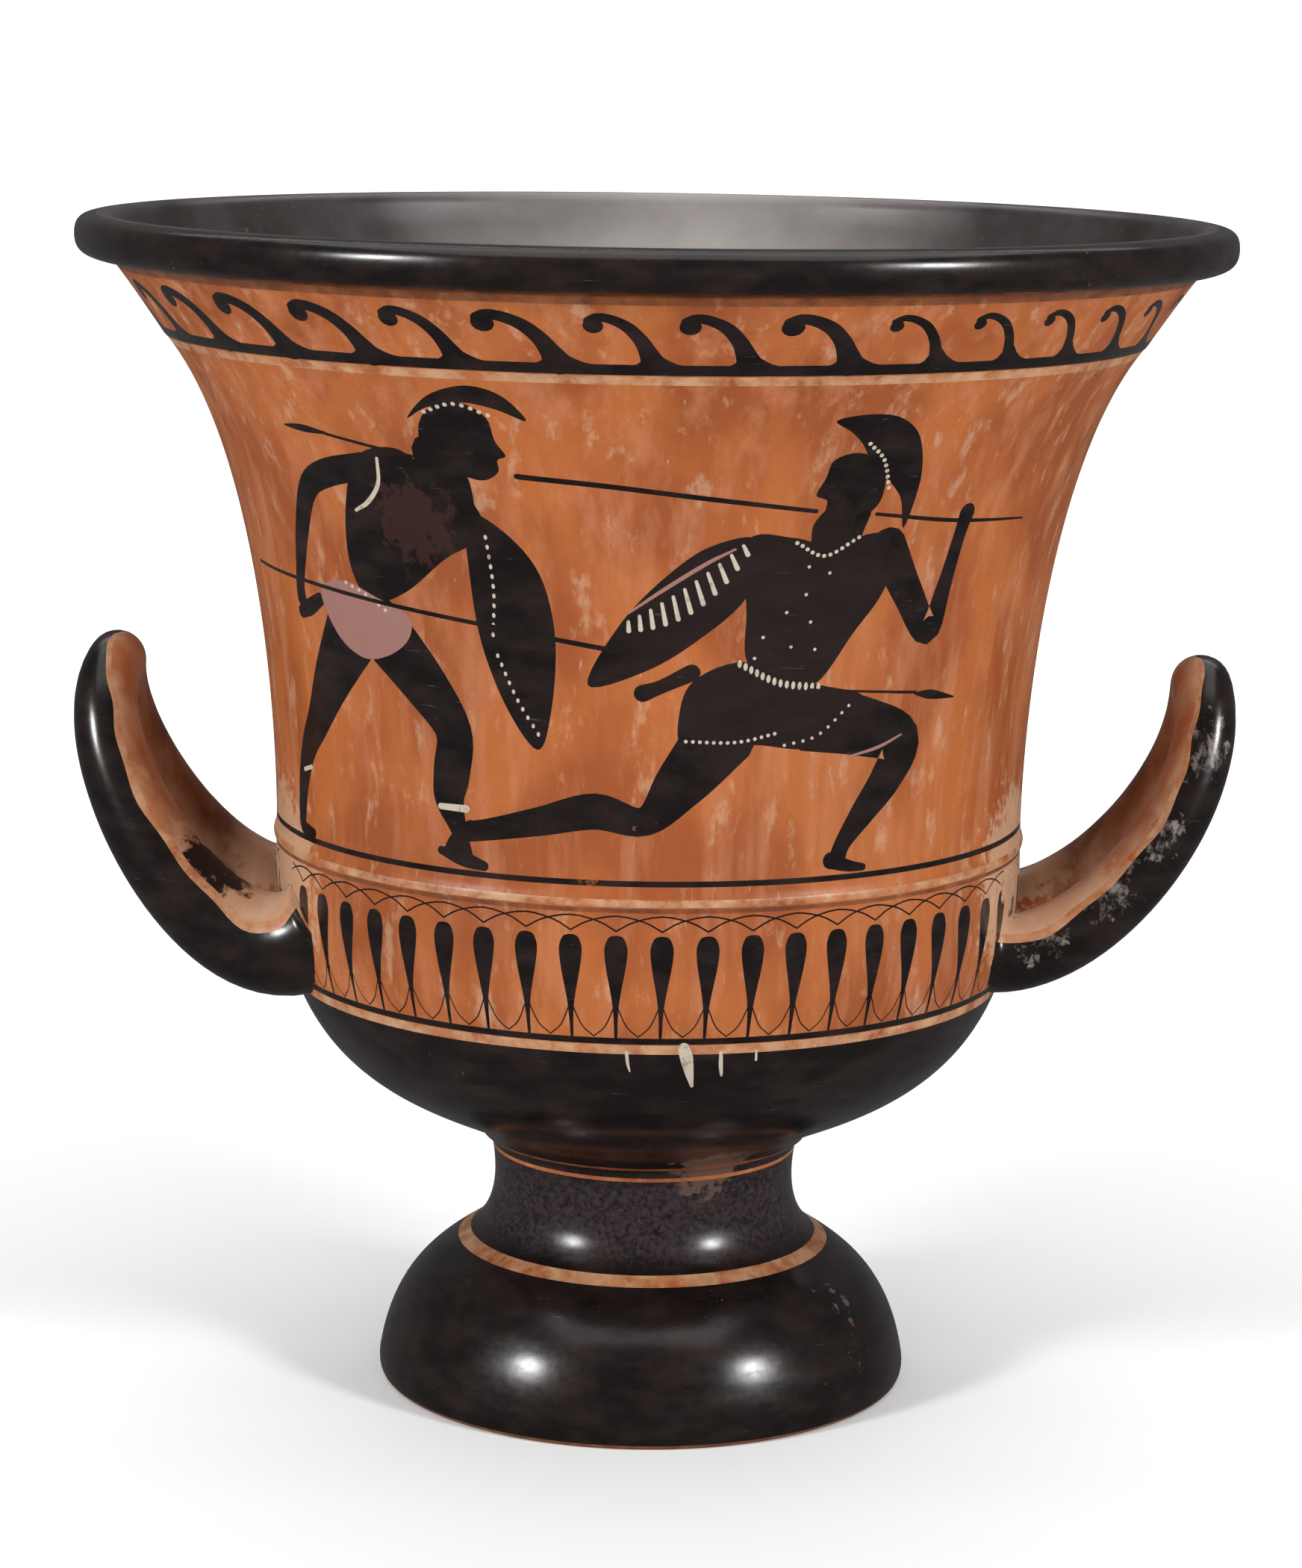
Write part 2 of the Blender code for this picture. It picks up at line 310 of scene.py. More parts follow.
def stroke(points, steps=6):
    """A brush stroke's outline from (x, z, width) points, with round ends."""
    line = smooth_line(points, steps)
    place, half = line[:, :2], np.maximum(line[:, 2], THINNEST_STROKE) / 2
    along = np.gradient(place, axis=0)
    along /= np.linalg.norm(along, axis=1)[:, None]
    across = np.stack((-along[:, 1], along[:, 0]), axis=1)
    left = place + across * half[:, None]
    right = place - across * half[:, None]
    turns = np.radians((30, 60, 90, 120, 150))
    tip = [place[-1] + half[-1] * (math.cos(a) * across[-1] + math.sin(a) * along[-1]) for a in turns]
    tail = [place[0] - half[0] * (math.cos(a) * across[0] + math.sin(a) * along[0]) for a in turns]
    return np.vstack((left, tip, right[::-1], tail))


def disc(x, z, radius, tall=1.0, steps=14):
    """A round outline, stretched upwards by tall."""
    angles = np.arange(steps) / steps * 2 * math.pi
    return np.stack((x + radius * np.cos(angles), z + radius * tall * np.sin(angles)), axis=1)


def millimetres(*points):
    """Points given in millimetres, in metres."""
    return [tuple(value / 1000 for value in point) for point in points]


def dots(points, count, size, tall=1.0):
    """Evenly spaced white dots along a smooth line."""
    line = smooth_line(millimetres(*points))
    length = np.r_[0, np.cumsum(np.linalg.norm(np.diff(line, axis=0), axis=1))]
    at = np.linspace(0, length[-1], count)
    places = zip(np.interp(at, length, line[:, 0]), np.interp(at, length, line[:, 1]))
    return [(WHITE, disc(x, z, size / 1000, tall, DOT_CORNERS)) for x, z in places]


def areas(material, outlines):
    """Painted areas with smooth outlines through points in millimetres."""
    return [(material, smooth_loop(millimetres(*outline))) for outline in outlines]


def strokes(material, lines):
    """Brush strokes along (x, z, width) points in millimetres."""
    return [(material, stroke(millimetres(*line))) for line in lines]


def left_warrior():
    """A warrior who leans forward behind a long pointed shield, with a crested helmet."""
    body = [(-78, 297), (-65, 301), (-55, 294), (-45, 286), (-44, 277), (-55, 270), (-69, 259), (-82, 255),
            (-88, 265), (-86, 281)]
    crest = [(-59, 310), (-52, 317), (-42, 320.5), (-34, 318), (-29, 311), (-36, 314), (-44, 315.5),
             (-53, 313.5)]
    head = [(-56, 309), (-51.5, 314), (-44, 315.4), (-38.6, 311.5), (-37.4, 305), (-35.2, 300.8),
            (-37.4, 299.4), (-37.6, 296), (-41.5, 293.4), (-47, 294.5), (-53, 298), (-56.8, 303)]
    shield = [(-47.5, 283), (-38, 279), (-29, 267), (-25.5, 248), (-27.5, 226), (-31.5, 216.5), (-40, 228),
              (-46.5, 246), (-48.5, 265)]
    limbs = (
        [(-54, 300, 12), (-52, 292, 13), (-52, 286, 14)],
        [(-75, 295, 8), (-90, 291.5, 8), (-99.5, 286, 7), (-107, 273, 6), (-113, 258, 4.5), (-114, 252, 5)],
        [(-104, 253, 4), (-110, 250, 5), (-115, 248, 4)],
        [(-91, 246, 21), (-104, 229, 16), (-113, 216, 11.5), (-120, 207, 9), (-125, 196, 7), (-127, 184, 5),
         (-125, 181, 4)],
        [(-125, 181.6, 4), (-119, 181, 3)],
        [(-79, 247, 20), (-66, 233, 16), (-57, 220, 12), (-58, 208, 12), (-59, 200, 10), (-56, 191, 5.4),
         (-54, 184, 5)],
        [(-62, 184.6, 2.5), (-55, 183, 4.6), (-48, 181.4, 3)],
    )
    kilt = [(-103, 256), (-92, 260), (-80, 256.5), (-69, 252), (-70, 245), (-78, 239.5), (-88, 238),
            (-98, 244)]
    strap_and_rings = (
        [(-71, 297.5, 0.9), (-72.5, 290, 1.2), (-77, 284.5, 1.3), (-82, 281.5, 0.9)],
        [(-124, 199.5, 1.3), (-119, 201, 1.3)],
        [(-62, 197.5, 1.8), (-53.5, 197.5, 2.2)],
    )
    shapes = areas(GLOSS, (body, crest, head, shield)) + strokes(GLOSS, limbs)
    shapes += areas(RED, (kilt,)) + strokes(WHITE, strap_and_rings)
    shapes += dots([(-54, 312.2), (-46, 315), (-38, 312.2)], 9, 0.6)
    shapes += dots([(-43, 277), (-42, 262), (-43, 249)], 11, 0.5, 1.5)
    shapes += dots([(-42, 243), (-37, 231), (-31, 221)], 10, 0.5, 1.4)
    return shapes + dots([(-91, 259.5), (-84, 257), (-77, 253)], 7, 0.6)


def shield_lines():
    """White lines that hang from the right warrior's shield's rim, longest in the middle."""
    lines = []
    for number in range(SHIELD_LINES):
        share = number / (SHIELD_LINES - 1)
        x, z = -6 + 29 * share, 254.5 + 22 * share - 6 * share * (1 - share)
        tall = 2.6 + 4.0 * math.sin(math.pi * share)
        lean = 0.05 + 0.45 * share
        lines.append((WHITE, stroke(millimetres((x, z, 0.9), (x + tall * lean, z - tall, 1.3)), 3)))
    return lines


def right_warrior():
    """A warrior in a kneeling run who looks back, with a long crest, a shield and two spears."""
    body = [(24, 278), (36, 278.5), (46, 276), (58, 279), (67, 277), (64, 262), (56, 250), (46, 236),
            (35, 238), (26, 243), (25, 257)]
    head = [(43.5, 300.5), (49, 302.5), (55, 300.5), (58.5, 295), (58, 287.5), (53, 283.5), (47, 283),
            (43.6, 285.6), (43.4, 289), (40.4, 290.6), (42.2, 295.5)]
    crest = [(42, 312), (51, 313.6), (59, 312), (65.5, 306), (69, 294), (67, 280), (64, 289), (57.5, 296),
             (53, 300.5), (50, 305), (46.5, 308.5)]
    shield = [(-17, 236), (-8, 254), (4, 268), (15, 276.5), (27, 278), (25, 262), (12, 249), (-2, 240)]
    kilt = [(12, 238), (26, 243), (46, 236), (62, 231), (58, 219), (44, 217), (28, 219), (10, 218), (8, 228)]
    limbs = (
        [(51, 286, 11), (49, 280, 12), (47, 274, 15)],
        [(46.5, 286, 5), (43, 281.5, 4.6), (41.5, 276.8, 1.6)],
        [(63, 275, 11), (72, 261, 9.5), (81.5, 249, 8.5), (85, 262, 5.6), (87, 276, 4.6), (88, 283, 5.5)],
        [(45, 226, 19), (62, 222.5, 17), (76, 217, 14), (72, 207, 11.8), (64, 197, 8.4), (58, 189, 5.5),
         (56, 184, 5.5)],
        [(54, 184, 5), (60, 182, 3.4), (65, 181.2, 2.2)],
        [(20, 222, 20), (9, 208, 15), (-1, 197, 8.5), (-15, 199.5, 10.5), (-30, 196, 8.5), (-45, 192.5, 6.5),
         (-53, 191, 6)],
        [(-52, 192, 5), (-57, 188, 4.4), (-60, 184, 3)],
        [(11, 240, 5), (3, 236, 4), (-2, 234, 5)],
    )
    rims = (
        [(-6, 257, 0.6), (4, 264.5, 1.1), (14, 271.5, 1.1), (21, 275.5, 0.6)],
        [(58, 214, 0.6), (68, 216, 1.0), (76, 219, 0.6)],
    )
    chest_dots = ((41, 270), (47, 268), (41, 262), (36, 257), (43, 254), (30, 250), (38, 247), (45, 246),
                  (28, 244))
    shapes = areas(GLOSS, (body, head, crest, shield, kilt)) + strokes(GLOSS, limbs)
    shapes += shield_lines() + strokes(RED, rims)
    shapes += dots([(37, 277), (45, 273), (54, 278)], 12, 0.6)
    shapes += dots([(24, 242.5), (35, 236.8), (47, 235)], 14, 0.6, 2.0)
    shapes += dots([(10, 220.2), (24, 219.8), (35, 222)], 14, 0.55)
    shapes += dots([(38, 218.5), (48, 221), (57, 229)], 9, 0.5)
    shapes += dots([(52, 305), (57, 300), (60, 292)], 10, 0.6)
    return shapes + [(WHITE, disc(x / 1000, z / 1000, 0.0005, steps=DOT_CORNERS)) for x, z in chest_dots]


def spears_behind():
    """The shafts and the head of the spears that the figures' bodies cover."""
    return strokes(GLOSS, (
        [(-101, 304.4, 0.6), (-94, 304.1, 2.2), (-86, 303.4, 0.9)],
        [(-86, 303.2, 0.9), (-70, 300.6, 0.9), (-60, 299, 0.7)],
        [(-33, 295, 1.6), (-10, 293, 1.5), (20, 289, 1.4), (41, 286, 1.2)],
        [(58, 284.5, 1.0), (84, 281, 1.2), (114, 279, 0.6)],
    ))


def spears_in_front():
    """The long low spear, with its leaf-shaped head, in front of the figures."""
    return strokes(GLOSS, (
        [(-143, 259.4, 1.0), (-100, 257, 1.2), (-47, 251.8, 1.3), (-10, 246.2, 1.5)],
        [(44, 234.5, 0.6), (80, 231, 0.9)],
        [(80, 230.6, 0.9), (86, 229.8, 2.8), (96, 228, 0.5)],
    ))


def wave(x, step, weight):
    """One running wave: a thick foot that thins upwards and curls back to the left, to a round tip."""
    tall = WAVE_TOP - WAVE_BASE
    spine = ((0.76, 0.05, 0.23), (0.69, 0.30, 0.165), (0.61, 0.53, 0.135), (0.48, 0.76, 0.120),
             (0.32, 0.90, 0.108), (0.18, 0.94, 0.105), (0.09, 0.87, 0.110))
    base = ((0.52, 0.00), (0.60, 0.10), (0.66, 0.30), (0.76, 0.33), (0.86, 0.20), (1.00, 0.08), (1.18, 0.00))
    hook = [(x + across * step, WAVE_BASE + up * tall, weight * wide * step) for across, up, wide in spine]
    foot = [(x + across * step, WAVE_BASE + up * tall) for across, up in base]
    tip = disc(x + 0.12 * step, WAVE_BASE + 0.78 * tall, 0.088 * weight * step)
    return [(GLOSS, stroke(hook, 5)), (GLOSS, smooth_loop(foot, 4)), (GLOSS, tip)]


def running_waves():
    """The waves around the pot, thinner where the brush ran dry on the right of the front."""
    angles = FRONT_WAVES + BACK_WAVES
    ends = angles[1:] + [angles[0] + 360]
    shapes = []
    for start, end in zip(angles, ends):
        x = math.radians((start + 180) % 360 - 180) * UNROLL
        step = math.radians(end - start) * UNROLL
        dry = DRY_WAVES_FROM < start < DRY_WAVES_TO
        shapes += wave(x, step, DRY_WAVE if dry else FULL_WAVE)
    return shapes


def bud(x):
    """One hanging bud that tapers to the line below, with thin linked arcs and crossed stems."""
    step, tall = 2 * HALF_TURN / BUDS, BUD_TOP - BUD_TIP
    side = ((0.0017, 0.02), (0.0031, 0.10), (0.0033, 0.19), (0.0027, 0.34), (0.0018, 0.50), (0.0010, 0.66),
            (0.0006, 0.82), (0.0004, 1.0))
    arch = ((-1.0, 0.03), (-0.6, 0.12), (0.0, 0.17), (0.6, 0.12), (1.0, 0.03))
    drop = [(x + half, BUD_TOP - down * tall) for half, down in side]
    drop += [(x - half, BUD_TOP - down * tall) for half, down in reversed(side)]
    lines = [[(x + across * step, BUD_TOP + up * tall, 0.0005) for across, up in arch]]
    for way in (-1, 1):
        lines.append([(x + way * 0.5 * step, BUD_TIP + 0.0006, 0.0004),
                      (x + way * 0.24 * step, BUD_TIP + 0.12 * tall, 0.0004),
                      (x + way * 0.05 * step, BUD_TIP + 0.30 * tall, 0.0004)])
    return [(GLOSS, stroke(line, 3)) for line in lines] + [(GLOSS, smooth_loop(drop, 3))]


def buds():
    """The buds around the whole pot."""
    step = 2 * HALF_TURN / BUDS
    return [piece for number in range(BUDS) for piece in bud(-HALF_TURN + (BUD_OFFSET + number) * step)]


def drips():
    """Pale drips that ran from the reserved band down over the black."""
    return strokes(WHITE, (
        [(-5.5, 128.6, 1.0), (-5.2, 125.0, 0.9), (-4.6, 122.5, 0.5)],
        [(11.6, 130.2, 3.4), (12.6, 127.0, 3.9), (13.8, 122.0, 2.7), (15.0, 117.6, 1.0)],
        [(23.0, 128.6, 1.0), (23.4, 124.5, 1.3), (24.0, 121.0, 0.8)],
        [(34.0, 128.6, 0.7), (34.4, 125.6, 0.8)],
    ))


def cloaked_figure(facing):
    """A standing figure on the plainer back, in a long cloak and leaning on a staff.

    The figure stands beside the seam at the middle of the back and faces it.
    """
    middle = facing * (HALF_TURN - CLOAKED_FIGURE_FROM_SEAM)

    def turned(*points):
        return [(middle + facing * x, *rest) for x, *rest in millimetres(*points)]

    cloak = turned((-14, 293), (-3, 299), (8, 295), (15, 280), (18, 256), (17, 230), (19, 206), (15, 192),
                   (-9, 190), (-16, 205), (-20, 235), (-22, 262), (-20, 282))
    head = turned((-8, 303), (-8, 311), (-3, 316), (4, 317), (9, 313), (10.5, 308.5), (10, 303), (5, 299),
                  (-3, 299))
    beard = turned((3, 303, 5), (7, 300, 5), (10, 295.5, 2))
    arm = turned((10, 283, 8), (18, 277, 6.5), (25, 274, 5))
    feet = [turned((-6, 192, 5), (-6, 185, 4), (2, 181.5, 3)),
            turned((8, 192, 5), (9, 185, 4), (17, 181.5, 3))]
    staff = turned((27, 181, 1.3), (26, 250, 1.4), (24, 303, 1.2))
    folds = [turned((-13, 289, 1.2), (-4, 262, 2.0), (-8, 214, 1.2)),
             turned((2, 294, 1.0), (9, 262, 1.8), (7, 206, 1.2))]
    shapes = [(GLOSS, stroke(staff)), (GLOSS, smooth_loop(cloak)), (GLOSS, smooth_loop(head))]
    shapes += [(GLOSS, stroke(line)) for line in (beard, arm, *feet)]
    return shapes + [(RED, stroke(line)) for line in folds]


def painted_shapes():
    """Everything painted on the wall over its bands, later shapes over earlier ones."""
    shapes = running_waves() + buds() + drips() + spears_behind()
    shapes += left_warrior() + right_warrior() + spears_in_front()
    return shapes + cloaked_figure(-1) + cloaked_figure(1)


def with_seam_copies(shapes):
    """The shapes, and of each that crosses the seam at the middle of the back a copy at its other side."""
    out = []
    for material, outline in shapes:
        out.append((material, outline))
        for way in (-1, 1):
            if (way * outline[:, 0]).max() > HALF_TURN:
                out.append((material, outline - np.array((2 * way * HALF_TURN, 0))))
    return out


def inside(points, outline):
    """Which points lie inside a closed outline."""
    found = np.zeros(len(points), bool)
    x, z = points[:, 0], points[:, 1]
    ends = np.roll(outline, -1, axis=0)
    for (ax, az), (bx, bz) in zip(outline, ends):
        crosses = (az > z) != (bz > z)
        if az != bz:
            found ^= crosses & (x < (bx - ax) * (z - az) / (bz - az) + ax)
    return found


def band_edges():
    """The heights where the paint or the wall's form changes."""
    return {PAINT_BOTTOM, NECK, WALL_TOP, WALL_TOP + BAND_STEP} | {z for band in BANDS for z in band[:2]}


def wall_rows():
    """Heights of the grid's rows, with one exactly on the edge of every band."""
    fixed = {z for z in band_edges() if PAINT_BOTTOM <= z <= NECK}
    fixed = sorted(fixed | {RIDGE_HEIGHT + share * RIDGE_HALF_WIDTH for share in RIDGE_ROWS})
    rows = []
    for low, high in zip(fixed, fixed[1:]):
        count = max(1, round((high - low) / ROW_STEP))
        rows += [low + (high - low) * i / count for i in range(count)]
    return rows + [NECK]


def wall_grid():
    """The grid's corners, and its edges along the bands and the seam, which stay in the mesh."""
    rows = wall_rows()
    columns = np.linspace(-HALF_TURN, HALF_TURN, AROUND + 1)
    points = [(x, z) for z in rows for x in columns]
    starts = [row * len(columns) for row in range(len(rows))]
    kept_heights = {round(z, 6) for z in band_edges()}
    edges = []
    for start, z in zip(starts, rows):
        if round(z, 6) in kept_heights:
            edges += [(start + i, start + i + 1) for i in range(AROUND)]
    for end in (0, AROUND):
        edges += [(low + end, high + end) for low, high in zip(starts, starts[1:])]
    return points, edges


def thinned(points, edges, outlines):
    """The grid without the corners that crowd an outline, apart from those on its edges."""
    near = kdtree.KDTree(sum(len(outline) for outline in outlines))
    for i, (x, z) in enumerate(place for outline in outlines for place in outline):
        near.insert((x, z, 0), i)
    near.balance()
    held = {i for edge in edges for i in edge}
    keep = [i in held or near.find((x, z, 0))[2] > OUTLINE_CLEARANCE for i, (x, z) in enumerate(points)]
    index = np.cumsum(keep) - 1
    points = [point for point, kept in zip(points, keep) if kept]
    return points, [(int(index[a]), int(index[b])) for a, b in edges]


def cut(points, edges):
    """Corners and triangles between the points, cut along every edge and at the seam."""
    made = delaunay_2d_cdt([Vector(p) for p in points], edges, [], 0, CUT_TOLERANCE)
    corners = np.array([tuple(v) for v in made[0]])
    triangles = np.array(made[2])
    triangles = triangles[abs(corners[triangles].mean(axis=1)[:, 0]) < HALF_TURN]
    used, triangles = np.unique(triangles, return_inverse=True)
    return corners[used], triangles.reshape(-1, 3)


def paint_at(places, shapes):
    """The material at each place of the unrolled wall."""
    paint = np.full(len(places), CLAY)
    for low, high, material in BANDS:
        paint[(places[:, 1] > low) & (places[:, 1] < high)] = material
    for material, outline in shapes:
        low, high = outline.min(axis=0), outline.max(axis=0)
        close = np.flatnonzero(((places > low) & (places < high)).all(axis=1))
        paint[close[inside(places[close], outline)]] = material
    return paint


def unrolled_wall():
    """The painted wall cut along every outline: its corners, triangles and their materials."""
    shapes = with_seam_copies(painted_shapes())
    outlines = [outline for _, outline in shapes]
    points, edges = thinned(*wall_grid(), outlines)
    for outline in outlines:
        start, count = len(points), len(outline)
        points += [(float(x), float(z)) for x, z in outline]
        edges += [(start + i, start + (i + 1) % count) for i in range(count)]
    corners, triangles = cut(points, edges)
    return corners, triangles, paint_at(corners[triangles].mean(axis=1), shapes)


def on_wall(corners):
    """Places on the round wall for corners in the unrolled one."""
    angle = corners[:, 0] / UNROLL
    radius = radius_at(corners[:, 1])
    return np.stack((radius * np.sin(angle), -radius * np.cos(angle), corners[:, 1]), axis=1)


def ring(height, radius):
    """The corners of one ring around the pot."""
    angles = np.linspace(-math.pi, math.pi, AROUND, endpoint=False)
    return np.stack((radius * np.sin(angles), -radius * np.cos(angles), np.full(AROUND, height)), axis=1)


def lathe(outline, material_at):
    """Rings of corners with faces between them, along an outline that may end on the pot's axis."""
    corners, faces, paint = [], [], []
    for height, radius in outline:
        if radius < CUT_TOLERANCE:
            corners.append(np.array([(0.0, 0.0, height)]))
        else:
            corners.append(ring(height, radius))
    starts = np.cumsum([0] + [len(c) for c in corners])
    for i in range(len(outline) - 1):
        for j in range(AROUND):
            k = (j + 1) % AROUND
            low = (starts[i] + j, starts[i] + k) if len(corners[i]) > 1 else (starts[i],)
            high = (starts[i + 1] + k, starts[i + 1] + j) if len(corners[i + 1]) > 1 else (starts[i + 1],)
            faces.append(tuple(int(v) for v in low + high))
            paint.append(material_at((outline[i][0] + outline[i + 1][0]) / 2))
    return np.vstack(corners), faces, paint


def lower_paint(height):
    """The material of the foot, stem and lower bowl at a height."""
    return next((material for low, high, material in RINGS if low < height < high), GLOSS)


def lower_side():
    """The outline from the resting ring to the painted wall, with rows on the edges of its rings."""
    outline = OUTER[OUTER[:, 0] < PAINT_BOTTOM - ROW_STEP / 6]
    edges = {z for low, high, _ in RINGS for z in (low, high) if z > 0} | {PAINT_BOTTOM}
    outline = np.array(sorted(outline.tolist() + [[z, float(radius_at(z))] for z in edges]))
    apart = np.r_[True, np.linalg.norm(np.diff(outline, axis=0), axis=1) > LEAST_ROW_GAP]
    return outline[apart]


def painted_mesh(name, vertices, faces, marks, materials):
    """A mesh with its faces turned outwards, each in its material."""
    mesh = bpy.data.meshes.new(name)
    mesh.from_pydata([tuple(v) for v in vertices], [], faces)
    mesh.polygons.foreach_set("material_index", np.array(marks, dtype=np.int32))
    for material in materials:
        mesh.materials.append(material)
    shell = bmesh.new()
    shell.from_mesh(mesh)
    bmesh.ops.remove_doubles(shell, verts=shell.verts, dist=WELD_DISTANCE)
    bmesh.ops.recalc_face_normals(shell, faces=shell.faces)
    shell.to_mesh(mesh)
    shell.free()
    return mesh


def body_skin(materials):
    """The pot without its handles, as one closed mesh."""
    corners, triangles, paint = unrolled_wall()
    lip = lip_side()
    pieces = [
        (on_wall(corners), [tuple(int(v) for v in t) for t in triangles], list(paint)),
        lathe(lower_side(), lower_paint),
        lathe(np.vstack(([(NECK, NECK_RADIUS)], lip)), lambda height: GLOSS),
        lathe(np.vstack((lip[-1:], inner_side())), lambda height: DUSTY),
        lathe(hollow_side(), lambda height: CLAY),
    ]
    vertices, faces, marks = [], [], []
    for places, sides, paint in pieces:
        start = len(vertices)
        vertices += list(places)
        faces += [tuple(start + v for v in side) for side in sides]
        marks += paint
    return painted_mesh("painted_krater", vertices, faces, marks, materials)


def handle_path(handle):
    """Places and rod radii from the front leg's root over the arch to the back leg's root."""
    root = (handle["root"], BOWL_RADIUS - HANDLE_ROOT_DEPTH)
    top = (handle["top"] - handle["top_rod"], handle["reach"] - 1.1 * handle["top_rod"])
    share = 1 - (1 - np.linspace(0, 1, HANDLE_RINGS // 2 + 1)) ** HANDLE_EASE
    view = cubic(control_points(root, top, handle["angles"], handle["pulls"]), share)
    spread = handle["root_spread"] + (handle["top_spread"] - handle["root_spread"]) * share
    across = spread * (1 - share ** HANDLE_ARCH) ** (1 / HANDLE_ARCH)
    rod = handle["root_rod"] + (handle["top_rod"] - handle["root_rod"]) * share
    leg = np.stack((handle["side"] * view[:, 1], -across, view[:, 0], rod), axis=1)
    back = leg[:-1][::-1] * np.array((1, -1, 1, 1))
    return np.vstack((leg, back))


def rod_angles(number, reach):
    """The angles of a ring's corners, with a corner on each edge between its bare and its black side.

    The edge wanders from ring to ring, as the brush did.
    """
    half = reach + 4 * math.sin(0.31 * number) + 2 * math.sin(0.83 * number + 1)
    bare = np.linspace(-half, half, CLAY_SIDES, endpoint=False)
    black = np.linspace(half, 360 - half, GLOSS_SIDES, endpoint=False)
    return np.radians(np.concatenate((bare, black)))


def rod_corners(handle):
    """The corners of a handle's rod, ring by ring, each ring starting on its bare side."""
    path = handle_path(handle)
    along = np.gradient(path[:, :3], axis=0)
    along /= np.linalg.norm(along, axis=1)[:, None]
    least, further = handle["bare"]
    corners = []
    for number, ((*place, radius), direction) in enumerate(zip(path, along)):
        forward = -place[1] / handle["root_spread"]
        front = max(forward, 0)
        rise = BARE_SIDE_RISE + handle["lift"] * front
        inward = np.array((-handle["side"], BARE_SIDE_TURN * forward, rise))
        up = inward - direction * inward.dot(direction)
        up /= np.linalg.norm(up)
        side = np.cross(direction, up)
        for angle in rod_angles(number, least + further * front):
            corners.append(place + radius * (math.cos(angle) * up + math.sin(angle) * side))
    return np.array(corners)


def sink_ends(places):
    """Keeps the rod's buried corners inside the wall's thickness, so that none shows in the bowl."""
    radius = np.hypot(places[:, 0], places[:, 1])
    least = radius_at(places[:, 2]) - BURIED_DEPTH
    short = radius < least
    places[short, :2] *= (least[short] / radius[short])[:, None]


def handle_mesh(name, handle, materials):
    """A clay rod whose ends sink into the wall, left bare on the side that faces the pot and the loop."""
    corners = rod_corners(handle)
    sink_ends(corners)
    sides = CLAY_SIDES + GLOSS_SIDES
    marks_around = [WORN_AND_HIGHLIGHT] + [CLAY] * (CLAY_SIDES - 2) + [WORN_AND_HIGHLIGHT] + [GLOSS] * GLOSS_SIDES
    starts = range(0, len(corners), sides)
    faces, marks = [], []
    for start in starts[:-1]:
        for j in range(sides):
            k = (j + 1) % sides
            faces.append((start + j, start + k, start + sides + k, start + sides + j))
        marks += marks_around
    faces += [tuple(range(start, start + sides)) for start in (starts[0], starts[-1])]
    marks += [CLAY, CLAY]
    return painted_mesh(name, corners, faces, marks, materials)


def join_handles(body, handles):
    """Makes the body and the rods one skin, and removes the rods."""
    for handle in handles:
        union = body.modifiers.new("union", "BOOLEAN")
        union.operation = "UNION"
        union.solver = "EXACT"
        union.object = handle
    bpy.context.view_layer.update()
    joined = bpy.data.meshes.new_from_object(body.evaluated_get(bpy.context.evaluated_depsgraph_get()))
    body.modifiers.clear()
    body.data = joined
    for handle in handles:
        bpy.data.objects.remove(handle)


def drop_flaps(mesh):
    """Removes the tiny pairs of faces back to back that the union leaves where a rod grazes the wall."""
    shell = bmesh.new()
    shell.from_mesh(mesh)
    bmesh.ops.remove_doubles(shell, verts=shell.verts, dist=UNION_WELD_DISTANCE)
    bmesh.ops.triangulate(shell, faces=[face for face in shell.faces if len(face.verts) > 4])
    groups = {}
    for face in shell.faces:
        corners = frozenset(tuple(round(value, 6) for value in corner.co) for corner in face.verts)
        groups.setdefault(corners, []).append(face)
    flaps = [face for corners, group in groups.items()
             if len(corners) > 2 and len(group) > 1 for face in group]
    bmesh.ops.delete(shell, geom=flaps, context="FACES")
    shell.to_mesh(mesh)
    shell.free()


def shade(mesh):
    """Smooth shading with the turned surface's own normals wherever the skin follows it."""
    edge_margin, off_surface, agreement = 0.002, 0.00002, 0.97
    mesh.shade_smooth()
    places = np.empty(len(mesh.vertices) * 3)
    normals = np.empty(len(mesh.vertices) * 3)
    mesh.vertices.foreach_get("co", places)
    mesh.vertices.foreach_get("normal", normals)
    places, normals = places.reshape(-1, 3), normals.reshape(-1, 3)
    radius = np.hypot(places[:, 0], places[:, 1])
    z = places[:, 2]
    on_skin = (z > PAINT_BOTTOM) & (z < NECK - edge_margin) & (abs(radius - radius_at(z)) < off_surface)
    on_skin &= abs(z - WALL_TOP) > edge_margin
    outward = places[:, :2] / radius.clip(1e-6)[:, None]
    smooth = np.column_stack((outward, -slope_at(z)))
    smooth /= np.linalg.norm(smooth, axis=1)[:, None]
    use = on_skin & ((smooth * normals).sum(axis=1) > agreement)
    normals[use] = smooth[use]
    mesh.normals_split_custom_set_from_vertices(normals)


